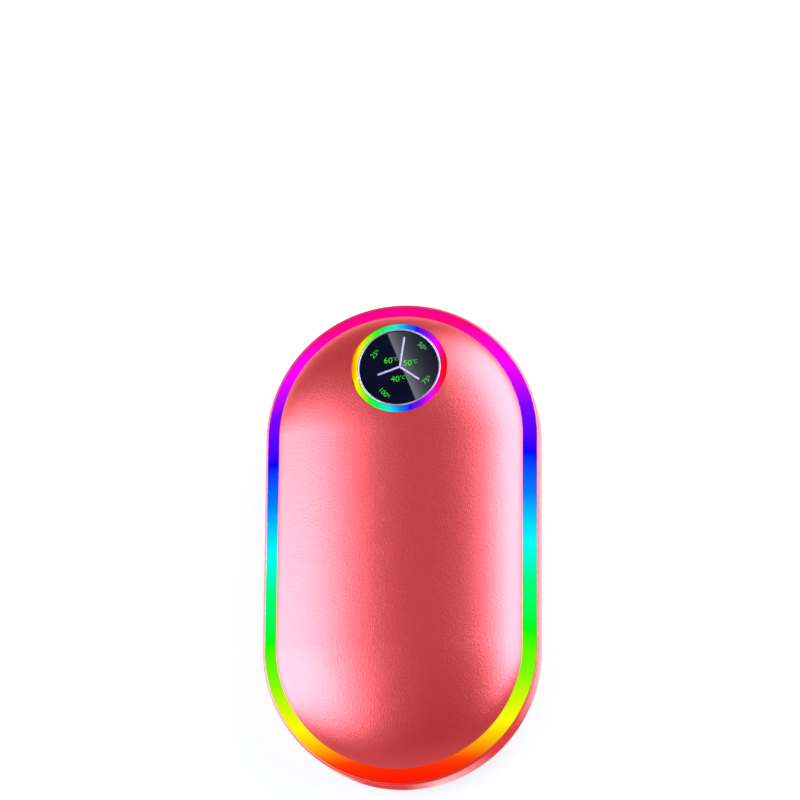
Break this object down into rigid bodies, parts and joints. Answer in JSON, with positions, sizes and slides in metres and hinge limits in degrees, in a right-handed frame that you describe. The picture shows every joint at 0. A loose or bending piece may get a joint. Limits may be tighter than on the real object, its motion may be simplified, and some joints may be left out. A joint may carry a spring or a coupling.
{
  "type": "rechargeable hand warmer",
  "caption": "Palm-size rechargeable hand warmer: domed capsule body with a lit ring round its waist, a round press-button display near one end and a charging socket in that end.",
  "frame": {"origin": "under the middle of the flat back, on the surface that it lies on", "axes": "+Z out through the domed front, +Y towards the display end, +X to the right seen from the front"},
  "size_m": [0.06, 0.106, 0.0248],
  "materials": {
    "coral_aluminium": "bead-blasted, coral-red anodised",
    "glow_diffuser": "frosted polycarbonate light guide, lit from behind",
    "silver_plating": "satin silver plating",
    "black_lens": "black-tinted polycarbonate, polished",
    "black_abs": "moulded, fine texture",
    "white_abs": "moulded",
    "circuit_board": "green solder mask",
    "polyimide_film": "amber film",
    "insulation_foam": "closed-cell foam",
    "pouch_foil": "laminated foil",
    "nickel_plate": "bright nickel",
    "steel": "zinc plated",
    "ferrite": "sintered",
    "chip_black": "moulded epoxy",
    "smoke_film": "printed film",
    "wire_red": "silicone sleeve",
    "wire_black": "silicone sleeve",
    "wire_white": "silicone sleeve"
  },
  "bodies": {
    "housing": {"rear_shell": "coral_aluminium", "front_shell": "coral_aluminium", "light_ring": "glow_diffuser", "ring_light_strip": "white_abs", "battery_tray": "white_abs", "front_frame": "white_abs", "frame_screw_1": "steel", "frame_screw_2": "steel", "frame_screw_3": "steel", "frame_screw_4": "steel", "rear_heater": "polyimide_film", "rear_insulation": "insulation_foam", "rear_sensor": "chip_black", "front_heater": "polyimide_film", "front_insulation": "insulation_foam", "front_sensor": "chip_black", "battery_pouch": "pouch_foil", "battery_foam": "insulation_foam", "protection_board": "circuit_board", "battery_tab_positive": "nickel_plate", "battery_tab_negative": "nickel_plate", "main_board": "circuit_board", "power_inductor": "ferrite", "charger_chip": "chip_black", "controller_chip": "chip_black", "bulk_capacitor": "steel", "port_bezel": "black_abs", "port_shell": "nickel_plate", "port_tongue": "black_abs", "button_guide": "black_abs", "guide_screw_1": "steel", "guide_screw_2": "steel", "display_halo": "glow_diffuser", "display_board": "circuit_board", "switch_body": "black_abs", "display_ribbon": "wire_white", "battery_lead_positive": "wire_red", "battery_lead_negative": "wire_black", "rear_heater_lead_1": "wire_white", "rear_heater_lead_2": "wire_white", "front_heater_lead_1": "wire_white", "front_heater_lead_2": "wire_white"},
    "button": {"button_bezel": "silver_plating", "display_lens": "black_lens", "divider_bars": "silver_plating", "legend_film": "smoke_film", "button_carrier": "white_abs"},
    "switch_plunger": {"switch_stem": "black_abs"}
  },
  "joints": [
    {"name": "button_press", "type": "slide", "parent": "housing", "child": "button", "axis": [0, -0.1733, -0.9849], "range_m": [0, 0.0004], "stiffness_N_per_m": 1500, "springref_m": -0.0005},
    {"name": "plunger_press", "type": "slide", "parent": "housing", "child": "switch_plunger", "axis": [0, -0.1733, -0.9849], "range_m": [0, 0.0004]}
  ],
  "couplings": [
    {"joint": "plunger_press", "follows": "button_press", "ratio": 1}
  ]
}
